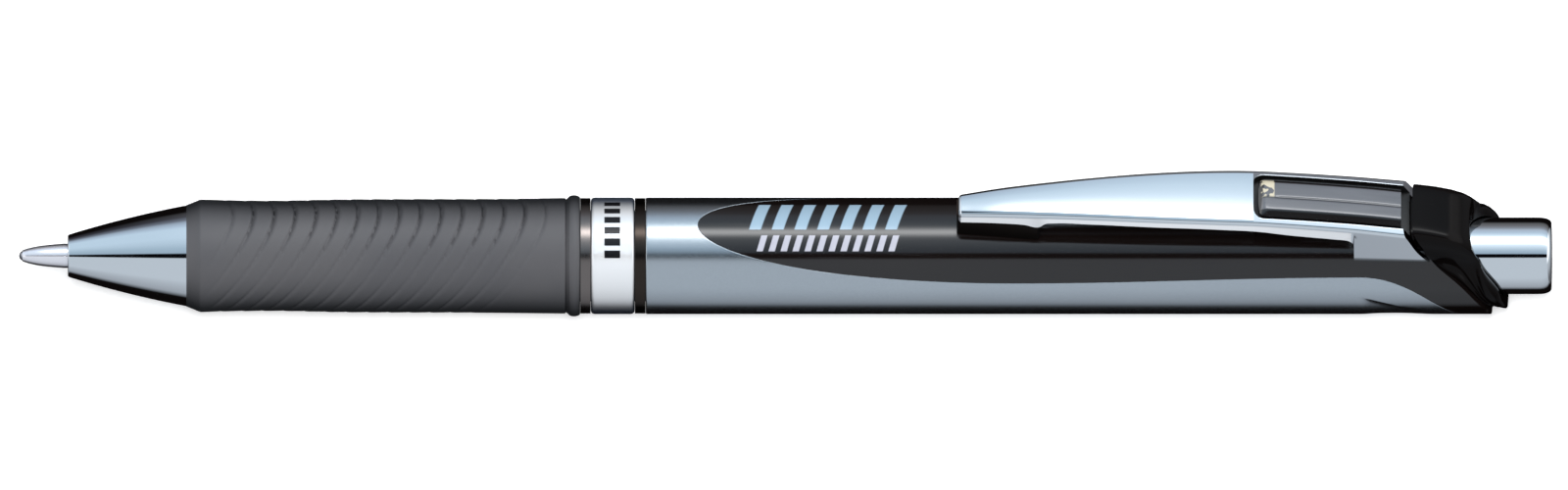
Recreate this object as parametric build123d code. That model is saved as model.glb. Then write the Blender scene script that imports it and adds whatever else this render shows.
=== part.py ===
from build123d import *

import os
from math import cos, pi, radians, sin, sqrt

# Retractable gel pen, in millimetres, with its tip out and its button latched down.
# Every piece is drawn about the X axis, at its station from the writing end (0) to the
# button's face (LENGTH). export() then moves it into the row frame: origin under the
# middle of the pen, X towards the button, Z up through the clip.

# ---------------------------------------------------------------- driving dimensions
LENGTH = 144.6  # writing end to button face, tip out
BARREL_R = 5.5
BEAD_R = 5.72  # bead at the grip's rear end, the widest turned part
BORE_R = 4.6  # rear barrel's bore
REFILL_R = 2.95
RUN = 0.05  # radial clearance of turning and sliding fits

# Stations along the pen
NOSE_FRONT = 4.6
NOSE_REAR = 15.7
GRIP_REAR = 52.9
RINGS = (52.95, 53.9, 58.1, 59.1)  # front trim, centre ring, rear trim
SPIGOT_END = 64.0
BARREL_FRONT = RINGS[3]

# The barrel's rear rim and the cap's mouth as curves in the side view (station, height):
# both lean over the barrel and straighten up below its axis. The rim runs on through the clip.
RIM = [(129.9, 10.0), (130.8, 8.2), (133.1, 4.5), (135.5, 2.8), (137.6, 0.2), (138.6, -1.9), (139.0, -5.5)]
MOUTH = [(135.4, 5.4), (136.6, 3.9), (137.8, 2.6), (139.3, 0.5), (139.9, -1.4), (140.5, -4.9)]

SPIGOT_R = 4.3  # front barrel, under the grip and the rings
THREAD_R = 3.67
BUTTON_R = 3.62


def turned(*outline):
    """A solid turned about the pen's axis from a closed outline of (station, radius) points."""
    return revolve(make_face(Polyline(*outline, close=True)), Axis.X)


def turned_edges(*edges):
    """The same from edges, where the outline has arcs or curves."""
    return revolve(make_face(Curve() + list(edges)), Axis.X)


def tube(start, end, outer, inner=0.0):
    """A plain round tube or rod between two stations."""
    return turned((start, inner), (end, inner), (end, outer), (start, outer))


def side_plate(outline, half_width):
    """A plate from a side-view outline of (station, height) edges, as wide as the pen needs."""
    face = Plane.XZ * make_face(outline)
    return extrude(face, half_width, both=True)


def behind(front_edge):
    """Everything behind an edge that runs from above the pen to below it in the side view."""
    top, bottom, far = front_edge @ 0, front_edge @ 1, LENGTH + 40.0
    rest = Polyline(bottom, (far, bottom.Y), (far, top.Y), top)
    return side_plate(Curve() + [front_edge, *rest.edges()], 20.0)


def behind_rim():
    high, low = (129.0, 12.0), (139.1, -8.0)
    return behind(Spline(high, *RIM, low))


def behind_mouth():
    high, low = (131.0, 11.0), (140.8, -8.0)
    return behind(Spline(high, *MOUTH, low))


def around(count, first_angle=0.0):
    """Places for equal pieces round the pen's axis."""
    return [Rot(X=first_angle + 360.0 * n / count) for n in range(count)]


def export(shape, node):
    """Writes one node, moved from pen stations into the row frame."""
    export_step(Pos(-LENGTH / 2, 0, BEAD_R) * shape, f"parts/{node}.step")


# ---------------------------------------------------------------- nose cone
CONE_FRONT_R = 1.98
CONE_REAR_R = 4.74
CONE_BULGE = 0.17  # how far its side swells past a straight cone
SPRING_SEAT = 10.4
THREAD_FRONT = 12.4


def nose_cone():
    edge_round = 0.3
    middle = (NOSE_FRONT + NOSE_REAR) / 2
    bulged = (CONE_FRONT_R + CONE_REAR_R) / 2 + CONE_BULGE
    front_corner = (NOSE_FRONT + edge_round, CONE_FRONT_R + 0.08)
    outer = [
        Line((NOSE_FRONT, 1.22), (NOSE_FRONT, CONE_FRONT_R - edge_round)),
        ThreePointArc(
            (NOSE_FRONT, CONE_FRONT_R - edge_round),
            (NOSE_FRONT + 0.1, CONE_FRONT_R - 0.06),
            front_corner,
        ),
        ThreePointArc(front_corner, (middle, bulged), (NOSE_REAR, CONE_REAR_R)),
    ]
    inner = Polyline(
        (NOSE_REAR, CONE_REAR_R),
        (NOSE_REAR, THREAD_R + RUN),
        (THREAD_FRONT, THREAD_R + RUN),
        (THREAD_FRONT, 2.85),
        (SPRING_SEAT, 2.85),
        (SPRING_SEAT, 2.1),
        (6.2, 1.22),
        (NOSE_FRONT, 1.22),
    )
    return turned_edges(*outer, *inner.edges())


# ---------------------------------------------------------------- front barrel and grip
def front_barrel():
    """Grip core with the threaded nozzle in front and the spigot for the rear barrel behind."""
    bore = 3.12
    nozzle = THREAD_FRONT + 0.2
    shoulder = NOSE_REAR + 0.05
    return turned(
        (nozzle, bore),
        (SPIGOT_END, bore),
        (SPIGOT_END, SPIGOT_R),
        (shoulder, SPIGOT_R),
        (shoulder, THREAD_R),
        (nozzle + 0.3, THREAD_R),
        (nozzle, THREAD_R - 0.2),
    )


def grip_sleeve():
    """Soft sleeve: flared lip in front, slight waist, fine groove and bead behind."""
    front = NOSE_REAR + 0.1
    lip, groove = 17.1, 51.4
    bead = (GRIP_REAR - 0.55, BEAD_R)
    top = [
        Line((front, SPIGOT_R), (front, 4.76)),
        Line((front, 4.76), (lip, 5.31)),
        Spline((lip, 5.31), (24.5, 5.22), (33.0, 5.34), (42.0, 5.37), (groove, 5.44)),
        Line((groove, 5.44), (groove + 0.1, 5.3)),
        Line((groove + 0.1, 5.3), (groove + 0.3, 5.44)),
        ThreePointArc((groove + 0.3, 5.44), bead, (GRIP_REAR, 5.46)),
        Line((GRIP_REAR, 5.46), (GRIP_REAR, SPIGOT_R)),
        Line((GRIP_REAR, SPIGOT_R), (front, SPIGOT_R)),
    ]
    return turned_edges(*top)


# ---------------------------------------------------------------- rings round the joint
def trim_ring(start, end):
    edge = 0.12
    r = BARREL_R - 0.06
    return turned(
        (start, SPIGOT_R),
        (end, SPIGOT_R),
        (end, r - edge),
        (end - edge, r),
        (start + edge, r),
        (start, r - edge),
    )


def centre_ring():
    start, end = RINGS[1], RINGS[2]
    edge = 0.3
    return turned_edges(
        Line((start, SPIGOT_R), (start, BARREL_R - edge)),
        ThreePointArc(
            (start, BARREL_R - edge),
            (start + 0.09, BARREL_R - 0.09),
            (start + edge, BARREL_R),
        ),
        Line((start + edge, BARREL_R), (end - edge, BARREL_R)),
        ThreePointArc(
            (end - edge, BARREL_R), (end - 0.09, BARREL_R - 0.09), (end, BARREL_R - edge)
        ),
        Line((end, BARREL_R - edge), (end, SPIGOT_R)),
        Line((end, SPIGOT_R), (start, SPIGOT_R)),
    )


# ---------------------------------------------------------------- rear barrel and its inlay
INLAY_TIP = 64.0  # station of the teardrop's front point
INLAY_FULL = 94.0  # station where the front ellipse reaches its full width
INLAY_ANGLE = 60.5  # half angle there, from the clip's line
INLAY_WAIST = 126.3  # where the rear sweep starts
INLAY_WAIST_ANGLE = 54.0  # half angle there
SWEEP_RATE, SWEEP_POWER = 0.43, 2.2  # how fast the sweep opens behind the waist
INLAY_FLOOR_R = 5.15  # floor of the recess the inlay lies in


def inlay_angle(station):
    """Half angle of the dark inlay: a quarter ellipse, a long slight taper, then a sweep round."""
    if station < INLAY_FULL:
        share = (station - INLAY_TIP) / (INLAY_FULL - INLAY_TIP)
        return INLAY_ANGLE * sqrt(max(0.0, 1.0 - (1.0 - share) ** 2))
    if station < INLAY_WAIST:
        share = (station - INLAY_FULL) / (INLAY_WAIST - INLAY_FULL)
        return INLAY_ANGLE + (INLAY_WAIST_ANGLE - INLAY_ANGLE) * (1 - cos(pi * share)) / 2
    return min(180.0, INLAY_WAIST_ANGLE + SWEEP_RATE * (station - INLAY_WAIST) ** SWEEP_POWER)


def inlay_zone():
    """Everything above the inlay's edge, seen from the side."""
    stations = [INLAY_TIP, 65.5, 68.0, 72.0, 78.0, 85.0, INLAY_FULL, 102.0, 110.0, 118.0, 126.0]
    stations += [128.5, 131.0, 133.5, 136.0, 138.0, 139.4]
    points = [(s, BARREL_R * cos(radians(inlay_angle(s)))) for s in stations]
    over = BARREL_R + 1.0
    rest = Polyline(points[-1], (LENGTH, points[-1][1]), (LENGTH, over), (INLAY_TIP, over), points[0])
    return side_plate(Curve() + [Spline(*points), *rest.edges()], 10.0)


def barrel_blank(inner):
    """The rear barrel's outside with the leaning rear rim, hollowed to a radius."""
    return tube(BARREL_FRONT, LENGTH, BARREL_R, inner) - behind_rim()


def rear_barrel():
    socket = tube(BARREL_FRONT, SPIGOT_END + 0.2, BORE_R, SPIGOT_R)
    recess = barrel_blank(INLAY_FLOOR_R) & inlay_zone()
    return barrel_blank(BORE_R) + socket - recess


def barrel_inlay():
    return barrel_blank(INLAY_FLOOR_R) & inlay_zone()


# ---------------------------------------------------------------- clip, foot and window
CLIP_FRONT = 88.6
CLIP_END = 134.5  # where its sheet would end without the cap's rim
CLIP_SPLIT = 111.0  # where the arm starts to bend
CLIP_SHEET = 0.5  # thickness of the plated sheet
WINDOW_FRONT = 116.7
WINDOW_THICKNESS = 1.3
LEG_FRONT = 126.0  # front edge of the legs that reach down to the barrel
# Crown line (station, height) and half width (station, width) of the clip.
CLIP_TOP = [(CLIP_FRONT, 9.3), (96.9, 10.2), (101.0, 10.55), (107.0, 10.8), (113.0, 10.8)]
CLIP_TOP += [(119.6, 10.3), (123.6, 9.75), (127.6, 9.1), (131.0, 8.4), (CLIP_END, 7.6)]
CLIP_HALF_WIDTH = [(CLIP_FRONT, 1.1), (96.9, 1.9), (101.0, 2.25), (107.0, 2.7), (113.0, 2.95), (CLIP_END, 3.2)]


def clip_plan(inset=0.0):
    """The clip's outline seen from above, as a tall block."""
    near = [(s, w - inset) for s, w in CLIP_HALF_WIDTH]
    near[0] = (CLIP_FRONT + inset, near[0][1])
    far = [(s, -w) for s, w in reversed(near)]
    return extrude(make_face(Polyline(*near, *far, close=True)), 14.0)


def clip_side(drop, bottom):
    """The clip's side view from its curved top, lowered by drop, down to a list of points."""
    top = [(s, h - drop) for s, h in CLIP_TOP]
    rest = Polyline(top[-1], *bottom, top[0])
    return side_plate(Curve() + [Spline(*top), *rest.edges()], 8.0)


def under_sheet(inset, drop):
    """The space inside the clip at a depth below its top and sides, down to the pen's axis."""
    return clip_plan(inset) & clip_side(drop, [(CLIP_END, 0.0), (CLIP_FRONT, 0.0)])


def window_slot():
    """The window's slot in the clip's top: rounded in front, open at the rear."""
    half, corner = 2.2, 0.7
    length = CLIP_END + 3.0 - WINDOW_FRONT
    slot = Pos(WINDOW_FRONT + length / 2, 0) * RectangleRounded(length, 2 * half, corner)
    return extrude(slot, 14.0)


def clip_blank():
    """The whole pressed clip, arm and base in one: a channel open below, with a window slot."""
    under = [(CLIP_END, 3.9), (LEG_FRONT, 3.9), (LEG_FRONT, 7.3), (124.9, 8.0), (117.4, 8.95)]
    under += [(110.0, 9.35), (103.5, 9.25), (97.3, 8.75), (96.4, 7.9), (CLIP_FRONT, 7.5)]
    outer = clip_plan() & clip_side(0.0, under)
    cleared = outer - under_sheet(CLIP_SHEET, CLIP_SHEET) - tube(CLIP_FRONT, LENGTH, BARREL_R)
    return cleared - window_slot() - behind_rim()


def clip_half(ahead):
    """One side of the bend: the arm ahead of it or the base behind it."""
    gap = 0.05
    reach = (CLIP_FRONT - 5, CLIP_SPLIT - gap) if ahead else (CLIP_SPLIT + gap, LENGTH)
    keep = Pos((reach[0] + reach[1]) / 2, 0, 8) * Box(reach[1] - reach[0], 20, 20)
    return clip_blank() & keep


def clip_foot():
    """Block in the arm's nose that presses on the barrel and keeps the cloth in."""
    rear, rub = 96.3, 0.08
    low, high = 4.9, 12.0
    length = rear - CLIP_FRONT
    block = Pos(CLIP_FRONT + length / 2, 0, (low + high) / 2) * Box(length, 10, high - low)
    return (block & under_sheet(CLIP_SHEET, CLIP_SHEET)) - tube(CLIP_FRONT, LENGTH, BARREL_R + rub)


def clip_window():
    """Tinted insert that fills the slot in the clip's top."""
    recess = 0.08
    slab = under_sheet(0.0, recess) - under_sheet(-1.0, recess + WINDOW_THICKNESS)
    return (slab & window_slot()) - behind_rim()


# ---------------------------------------------------------------- rear cap
CAP_FRONT = 126.2
BUTTON_STOP = 133.6  # step in the cap's bore that keeps the button in
CAP_BORE_R = 4.12
# Crown line of the hump behind the clip (station, height).
HUMP = [(129.0, 8.7), (131.5, 8.1), (133.4, 7.6), (135.1, 6.9), (136.4, 5.8), (137.3, 4.4)]


def rear_cap():
    """Dark end piece: plug in the barrel, tongue under the clip, hump and leaning mouth behind."""
    collar_r, hump_half = 4.8, 3.2
    plug = tube(CAP_FRONT, LENGTH, BORE_R)
    tongue = under_sheet(CLIP_SHEET, WINDOW_THICKNESS + 0.1) & tube(CAP_FRONT, LENGTH, 12.0, BARREL_R)
    foot = Polyline(HUMP[-1], (138.0, 2.0), (129.0, 2.0), HUMP[0])
    hump = side_plate(Curve() + [Spline(*HUMP), *foot.edges()], hump_half)
    shown = (tube(CAP_FRONT, LENGTH, collar_r) + hump) & behind_rim()
    stem_way = tube(CAP_FRONT - 1, BUTTON_STOP, CAP_BORE_R) + tube(CAP_FRONT, LENGTH, BUTTON_R + 0.08)
    return (plug + tongue + shown) - behind_mouth() - stem_way


# ---------------------------------------------------------------- button and click mechanism
def knock_button():
    """Plated hollow button with a stop flange at its open front end."""
    front, flange_end = 127.2, 128.4
    wall, face, edge = 0.62, 0.8, 0.9
    bore = BUTTON_R - wall
    flange = CAP_BORE_R - RUN
    return turned_edges(
        *Polyline(
            (LENGTH - edge, BUTTON_R),
            (flange_end, BUTTON_R),
            (flange_end, flange),
            (front, flange),
            (front, bore),
            (LENGTH - face, bore),
            (LENGTH - face, 0),
            (LENGTH, 0),
            (LENGTH, BUTTON_R - edge),
        ).edges(),
        ThreePointArc(
            (LENGTH, BUTTON_R - edge),
            (LENGTH - edge * (1 - sin(pi / 4)), BUTTON_R - edge * (1 - cos(pi / 4))),
            (LENGTH - edge, BUTTON_R),
        ),
    )


GUIDE_FRONT, GUIDE_REAR = 112.0, 125.0
GUIDE_CREST_R = 3.2  # inner radius of the guide's lands
SLOT_R = 4.1  # depth of the slots between them
FINS = 4
TEETH = 8
CROWN = 113.0  # mean station of the meeting teeth
TOOTH_RISE = 1.0  # from that station to the teeth's roots


def fin(start, end, outer, width):
    """One radial fin along the clip's line."""
    inner = 1.8
    return Pos((start + end) / 2, 0, (outer + inner) / 2) * Box(end - start, width, outer - inner)


def fins(start, end, outer, width):
    """The set of equal fins round the axis, rounded to a radius."""
    ring = tube(start, end, outer)
    return [(place * fin(start, end, outer + 0.5, width)) & ring for place in around(FINS)]


def crown(base, tip, outer, inner, first_angle):
    """A ring of pointed teeth between two stations, base towards the piece they grow from."""
    half = outer * sin(pi / TEETH)
    sketch = make_face(Polyline((base, -half), (tip, 0), (base, half), close=True))
    blade = extrude(sketch, outer + 1.0)
    ring = tube(min(base, tip) - 0.01, max(base, tip) + 0.01, outer, inner)
    return [(place * blade) & ring for place in around(TEETH, first_angle)]


def cam_guide():
    """Fixed sleeve whose slots guide the thrust cam's fins."""
    body = tube(GUIDE_FRONT, GUIDE_REAR, BORE_R, GUIDE_CREST_R)
    for place in around(FINS):
        slot = Pos((GUIDE_FRONT + GUIDE_REAR) / 2, 0, SLOT_R / 2) * Box(20, 1.6, SLOT_R)
        body = body - ((place * slot) & tube(GUIDE_FRONT - 1, GUIDE_REAR + 1, SLOT_R))
    return body


def thrust_cam():
    """Plunger pressed into the button: fins in the guide's slots, pointed crown in front."""
    r, spindle_bore = 2.6, 1.5
    body = turned(
        (CROWN + TOOTH_RISE, spindle_bore),
        (119.5, spindle_bore),
        (119.5, 0),
        (140.0, 0),
        (140.0, 3.0),
        (129.0, 3.0),
        (128.0, 2.2),
        (119.5, 2.2),
        (119.0, r),
        (CROWN + TOOTH_RISE, r),
    )
    for part in fins(CROWN + TOOTH_RISE, 118.0, SLOT_R - 0.1, 1.3):
        body = body + part
    for part in crown(CROWN + TOOTH_RISE + 0.01, CROWN + 0.15, r, spindle_bore, 0.0):
        body = body + part
    return body


def rotor_cam():
    """Turning cam between plunger and refill, one eighth of a turn per click."""
    r, spindle = 2.6, 1.42
    front = 109.85
    body = turned(
        (front, 0),
        (118.5, 0),
        (118.5, spindle),
        (CROWN - TOOTH_RISE, spindle),
        (CROWN - TOOTH_RISE, r),
        (front, r),
    )
    for part in fins(front + 0.3, CROWN - TOOTH_RISE - 0.1, GUIDE_CREST_R - 0.1, 1.2):
        body = body + part
    half_step = 180.0 / TEETH
    for part in crown(CROWN - TOOTH_RISE - 0.01, CROWN - 0.15, r, spindle, half_step):
        body = body + part
    return body


# ---------------------------------------------------------------- refill
TIP_R = 1.15
BALL_R = 0.5
ADAPTER_FLANGE = 23.3
TUBE_FRONT, TUBE_REAR = 24.3, 108.6
TUBE_BORE_R = 2.35
INK_FRONT, INK_REAR = 30.0, 92.0  # the fill inside the tube
FOLLOWER_REAR = 97.0


def writing_ball():
    return Pos(BALL_R, 0, 0) * Sphere(BALL_R)


def refill_tip():
    """Metal point: a socket spun round the ball, a slightly rounded cone and a straight shank."""
    lip = 0.28
    outer = [
        Line((lip, 0), (lip, 0.6)),
        Spline((lip, 0.6), (1.3, 0.84), (2.6, 1.01), (4.2, TIP_R - 0.01)),
        *Polyline((4.2, TIP_R - 0.01), (4.3, TIP_R), (12.5, TIP_R), (12.5, 0), (lip, 0)).edges(),
    ]
    socket = Pos(BALL_R, 0, 0) * Sphere(BALL_R + 0.03)
    bores = tube(0.9, 2.3, 0.25) + tube(2.2, 12.6, 0.6)
    return turned_edges(*outer) - socket - bores


def coil(start, height, radius, wire, turns):
    """A coil of round wire wound about the pen's axis, and the point where the wire starts."""
    helix = Helix(height / turns, height, radius, center=(start, 0, 0), direction=(1, 0, 0))
    return sweep(Plane(origin=helix @ 0, z_dir=helix % 0) * Circle(wire), path=helix), helix @ 0


def tip_spring():
    """Tiny coil whose straight end pushes the ball shut."""
    wire, radius, start = 0.06, 0.45, 3.1
    turns, wire_end = coil(start, 6.0, radius, wire, 15)
    pin = tube(BALL_R * 2 + 0.06, start + wire, wire)
    leg = extrude(Plane(origin=(start, 0, 0), z_dir=wire_end - Vector(start, 0, 0)) * Circle(wire), radius)
    return pin + leg + turns


def refill_adapter():
    """Plastic holder between the metal point and the tube, with the spring's seat."""
    front, neck, body = 9.6, 1.5, 1.95
    return turned(
        (front, TIP_R),
        (12.5, TIP_R),
        (12.5, 0.75),
        (INK_FRONT, 0.75),
        (INK_FRONT, TUBE_BORE_R),
        (TUBE_FRONT, TUBE_BORE_R),
        (TUBE_FRONT, REFILL_R),
        (ADAPTER_FLANGE, REFILL_R),
        (ADAPTER_FLANGE, body),
        (12.2, body),
        (11.6, neck),
        (front, neck),
    )


def refill_tube():
    return tube(TUBE_FRONT, TUBE_REAR, REFILL_R, TUBE_BORE_R)


def ink_column():
    return tube(12.5, INK_FRONT + 0.1, 0.75) + tube(INK_FRONT, INK_REAR, TUBE_BORE_R)


def ink_follower():
    return tube(INK_REAR, FOLLOWER_REAR, TUBE_BORE_R)


def tail_plug():
    """Vented plug that closes the tube and takes the click mechanism's push."""
    end = TUBE_REAR + 1.2
    vent = 0.5
    return turned(
        (TUBE_REAR - 3.0, vent),
        (end, vent),
        (end, REFILL_R),
        (TUBE_REAR, REFILL_R),
        (TUBE_REAR, TUBE_BORE_R),
        (TUBE_REAR - 3.0, TUBE_BORE_R),
    )


def return_spring():
    """Coil spring between the nose cone's seat and the refill's flange."""
    wire, radius, turns, gap = 0.2, 2.45, 10, 0.03
    start = SPRING_SEAT + wire + gap
    height = ADAPTER_FLANGE - wire - gap - start
    return coil(start, height, radius, wire, turns)[0]


# ---------------------------------------------------------------- write every node
os.makedirs("parts", exist_ok=True)
export(nose_cone(), "nose_cone")
export(front_barrel(), "front_barrel")
export(grip_sleeve(), "grip_sleeve")
export(trim_ring(RINGS[0], RINGS[1]), "front_trim_ring")
export(centre_ring(), "centre_ring")
export(trim_ring(RINGS[2], RINGS[3]), "rear_trim_ring")
export(rear_barrel(), "rear_barrel")
export(barrel_inlay(), "barrel_inlay")
export(clip_half(ahead=True), "clip_arm")
export(clip_half(ahead=False), "clip_base")
export(clip_foot(), "clip_foot")
export(clip_window(), "clip_window")
export(rear_cap(), "rear_cap")
export(knock_button(), "knock_button")
export(cam_guide(), "cam_guide")
export(thrust_cam(), "thrust_cam")
export(rotor_cam(), "rotor_cam")
export(writing_ball(), "writing_ball")
export(refill_tip(), "refill_tip")
export(tip_spring(), "tip_spring")
export(refill_adapter(), "refill_adapter")
export(refill_tube(), "refill_tube")
export(ink_column(), "ink_column")
export(ink_follower(), "ink_follower")
export(tail_plug(), "tail_plug")
export(return_spring(), "return_spring")
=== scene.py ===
import bmesh
import bpy
import numpy as np
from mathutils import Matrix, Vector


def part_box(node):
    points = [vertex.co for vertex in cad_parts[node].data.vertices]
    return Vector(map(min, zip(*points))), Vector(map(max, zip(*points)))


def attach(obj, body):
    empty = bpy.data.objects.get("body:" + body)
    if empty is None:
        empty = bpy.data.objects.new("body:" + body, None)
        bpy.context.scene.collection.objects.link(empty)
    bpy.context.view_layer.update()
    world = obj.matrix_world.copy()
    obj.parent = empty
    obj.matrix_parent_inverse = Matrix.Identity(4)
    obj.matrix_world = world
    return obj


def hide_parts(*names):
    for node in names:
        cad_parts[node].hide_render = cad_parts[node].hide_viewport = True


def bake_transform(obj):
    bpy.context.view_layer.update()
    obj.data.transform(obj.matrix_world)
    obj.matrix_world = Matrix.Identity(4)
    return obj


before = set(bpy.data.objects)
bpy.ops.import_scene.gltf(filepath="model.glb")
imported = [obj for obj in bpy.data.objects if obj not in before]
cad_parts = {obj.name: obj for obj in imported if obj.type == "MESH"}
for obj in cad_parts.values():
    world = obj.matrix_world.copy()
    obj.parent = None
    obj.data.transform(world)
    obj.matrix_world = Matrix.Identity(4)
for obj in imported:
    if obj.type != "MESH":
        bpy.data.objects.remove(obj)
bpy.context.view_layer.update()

# ------------------------------------------------------------------ writing point
# The refill's metal point: a stainless steel nib turned to a slim bullet, with a carbide ball
# spun into its end. Stations along the pen are in millimetres from the ball, radii and heights
# in millimetres from the pen's axis, and angles run from the clip's line towards -Y.
BALL_R, SOCKET_R = 0.5, 0.53
SOCKET_FLOOR, SOCKET_LIP = np.radians(30), np.radians(109.5)  # seen from the ball's middle
LIP_S, BULLET_END, SHANK_END = 0.32, 4.2, 12.4
SHANK_R, INK_WAY_R, BALL_WAY_R = 1.15, 0.6, 0.25
# The nib's outside, from its lip to its shank (station, radius).
BULLET = [(LIP_S, 0.53), (0.7, 0.66), (1.3, 0.81), (2.1, 0.95), (3.1, 1.06), (BULLET_END, SHANK_R)]
TIP_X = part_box("writing_ball")[0].x
RING_LOW, RING_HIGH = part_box("centre_ring")
AXIS_Z = (RING_LOW.z + RING_HIGH.z) / 2
BARREL_R = (RING_HIGH.z - RING_LOW.z) / 2 * 1000


def place(station, across, height):
    """Points of the pen in millimetres, moved into the row frame in metres."""
    x = TIP_X + np.asarray(station) / 1000
    y = np.asarray(across) / 1000
    z = AXIS_Z + np.asarray(height) / 1000
    return np.stack(np.broadcast_arrays(x, y, z), -1)


def skin(name, grid, ring=True, closed=True, crease=32):
    """A mesh from a grid of points. ring joins its last column to the first, closed its last row
    to the first. Points that coincide are merged, open ends are filled, and edges sharper than
    crease degrees stay sharp."""
    same_point, no_length = 3e-7, 1e-8
    index = np.arange(grid.shape[0] * grid.shape[1]).reshape(grid.shape[:2])
    if closed:
        index = np.vstack([index, index[:1]])
    if ring:
        index = np.hstack([index, index[:, :1]])
    corners = [index[:-1, :-1], index[:-1, 1:], index[1:, 1:], index[1:, :-1]]
    mesh = bpy.data.meshes.new(name)
    faces = np.stack(corners, -1).reshape(-1, 4)
    mesh.from_pydata(grid.reshape(-1, 3).tolist(), [], faces.tolist())
    edit = bmesh.new()
    edit.from_mesh(mesh)
    bmesh.ops.remove_doubles(edit, verts=edit.verts, dist=same_point)
    bmesh.ops.dissolve_degenerate(edit, edges=edit.edges, dist=no_length)
    open_edges = [edge for edge in edit.edges if edge.is_boundary]
    ends = bmesh.ops.holes_fill(edit, edges=open_edges, sides=0)
    bmesh.ops.triangulate(edit, faces=ends["faces"])
    bmesh.ops.recalc_face_normals(edit, faces=edit.faces)
    edit.to_mesh(mesh)
    edit.free()
    mesh.polygons.foreach_set("use_smooth", np.ones(len(mesh.polygons), bool))
    mesh.set_sharp_from_angle(angle=np.radians(crease))
    piece = bpy.data.objects.new(name, mesh)
    bpy.context.scene.collection.objects.link(piece)
    return piece


def turned(name, outline, segments=144):
    """A closed outline of (station, radius) points turned about the pen's axis: each point runs
    round a circle, at radius times the sine and cosine of the angle."""
    angle = np.linspace(0, 2 * np.pi, segments, endpoint=False)
    station, radius = np.asarray(outline).T[:, :, None]
    return skin(name, place(station, -radius * np.sin(angle), radius * np.cos(angle)))


def rounded(corners, steps=7):
    """A closed outline whose corners (station, radius, rounding) are cut back by their rounding
    and joined by the parabola that touches both sides."""
    corners = np.asarray(corners, float)
    here, size = corners[:, :2], corners[:, 2:]

    def cut_back(other):
        """The points on the sides towards other where the rounding starts."""
        side = other - here
        length = np.linalg.norm(side, axis=1, keepdims=True)
        return here + side / length * np.minimum(size, 0.48 * length)

    before, after = cut_back(np.roll(here, 1, 0)), cut_back(np.roll(here, -1, 0))
    t = np.linspace(0, 1, steps)[None, :, None]
    bend = (1 - t) ** 2 * before[:, None] + 2 * t * (1 - t) * here[:, None] + t**2 * after[:, None]
    return bend.reshape(-1, 2)


def flow(at, knots):
    """The smooth curve through (place, value) knots: cubics whose slope at a knot follows its
    two neighbours, held level beyond both ends."""
    places, values = np.asarray(knots, float).T
    slope = np.gradient(values, places)
    n = np.clip(np.searchsorted(places, at) - 1, 0, len(places) - 2)
    gap = places[n + 1] - places[n]
    t = np.clip((at - places[n]) / gap, 0, 1)
    start = (1 + 2 * t) * (1 - t) ** 2 * values[n] + t * (1 - t) ** 2 * gap * slope[n]
    return start + t**2 * (3 - 2 * t) * values[n + 1] + t**2 * (t - 1) * gap * slope[n + 1]


class Wire:
    """One output of a shader node. Arithmetic on it adds Math nodes to its tree."""

    def __init__(self, tree, socket):
        self.tree, self.socket = tree, socket

    def node(self, kind, settings=None, inputs=None, output=0):
        """Adds a node to the tree: its settings first, then the values or wires of its inputs."""
        made = self.tree.nodes.new(kind)
        for name, value in (settings or {}).items():
            if name == "stops":
                ramp = made.color_ramp.elements
                while len(ramp) < len(value):
                    ramp.new(0.5)
                for stop, (position, color) in zip(ramp, value):
                    stop.position, stop.color = position, (*color, 1)
            else:
                setattr(made, name, value)
        for name, value in (inputs or {}).items():
            if isinstance(value, Wire):
                self.tree.links.new(value.socket, made.inputs[name])
            else:
                made.inputs[name].default_value = value
        return Wire(self.tree, made.outputs[output] if made.outputs else None)

    def maths(self, operation, *values):
        """A Math node over values, each a number or a wire."""
        return self.node("ShaderNodeMath", {"operation": operation}, dict(enumerate(values)))

    def __add__(self, other):
        return self.maths("ADD", self, other)

    def __sub__(self, other):
        return self.maths("SUBTRACT", self, other)

    def __rsub__(self, other):
        return self.maths("SUBTRACT", other, self)

    def __mul__(self, other):
        return self.maths("MULTIPLY", self, other)

    def __truediv__(self, other):
        return self.maths("DIVIDE", self, other)

    def __pow__(self, other):
        return self.maths("POWER", self, other)

    __radd__, __rmul__ = __add__, __mul__

    def step(self, low, high):
        """0 below low and 1 above high, with a smooth rise between."""
        ends = {"Value": self, "From Min": low, "From Max": high}
        return self.node("ShaderNodeMapRange", {"interpolation_type": "SMOOTHSTEP"}, ends)

    def mix(self, first, second):
        """The colour that is first where this is 0 and second where it is 1."""
        return self.node("ShaderNodeMix", {"data_type": "RGBA"}, {0: self, 6: first, 7: second}, 2)


def finish(name, **sockets):
    """A new material whose one shader has these values on its sockets. Returns the material,
    its shader and a wire of the object's own coordinates, in metres."""
    material = bpy.data.materials.new(name)
    material.use_nodes = True
    shader = material.node_tree.nodes["Principled BSDF"]
    for socket, value in sockets.items():
        shader.inputs[socket.replace("_", " ")].default_value = value
    start = Wire(material.node_tree, None)
    return material, shader, start.node("ShaderNodeTexCoord", output=3)


def drive(shader, **wires):
    """Links wires to the shader's sockets."""
    for socket, wire in wires.items():
        wire.tree.links.new(wire.socket, shader.inputs[socket.replace("_", " ")])


def grain(where, scale, detail=2, stretch=(1, 1, 1)):
    """Noise from 0 to 1 with scale grains to the metre, drawn out along the axes by stretch."""
    spot = where.node("ShaderNodeMapping", {}, {"Vector": where, "Scale": stretch})
    return where.node("ShaderNodeTexNoise", {}, {"Vector": spot, "Scale": scale, "Detail": detail})


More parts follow.
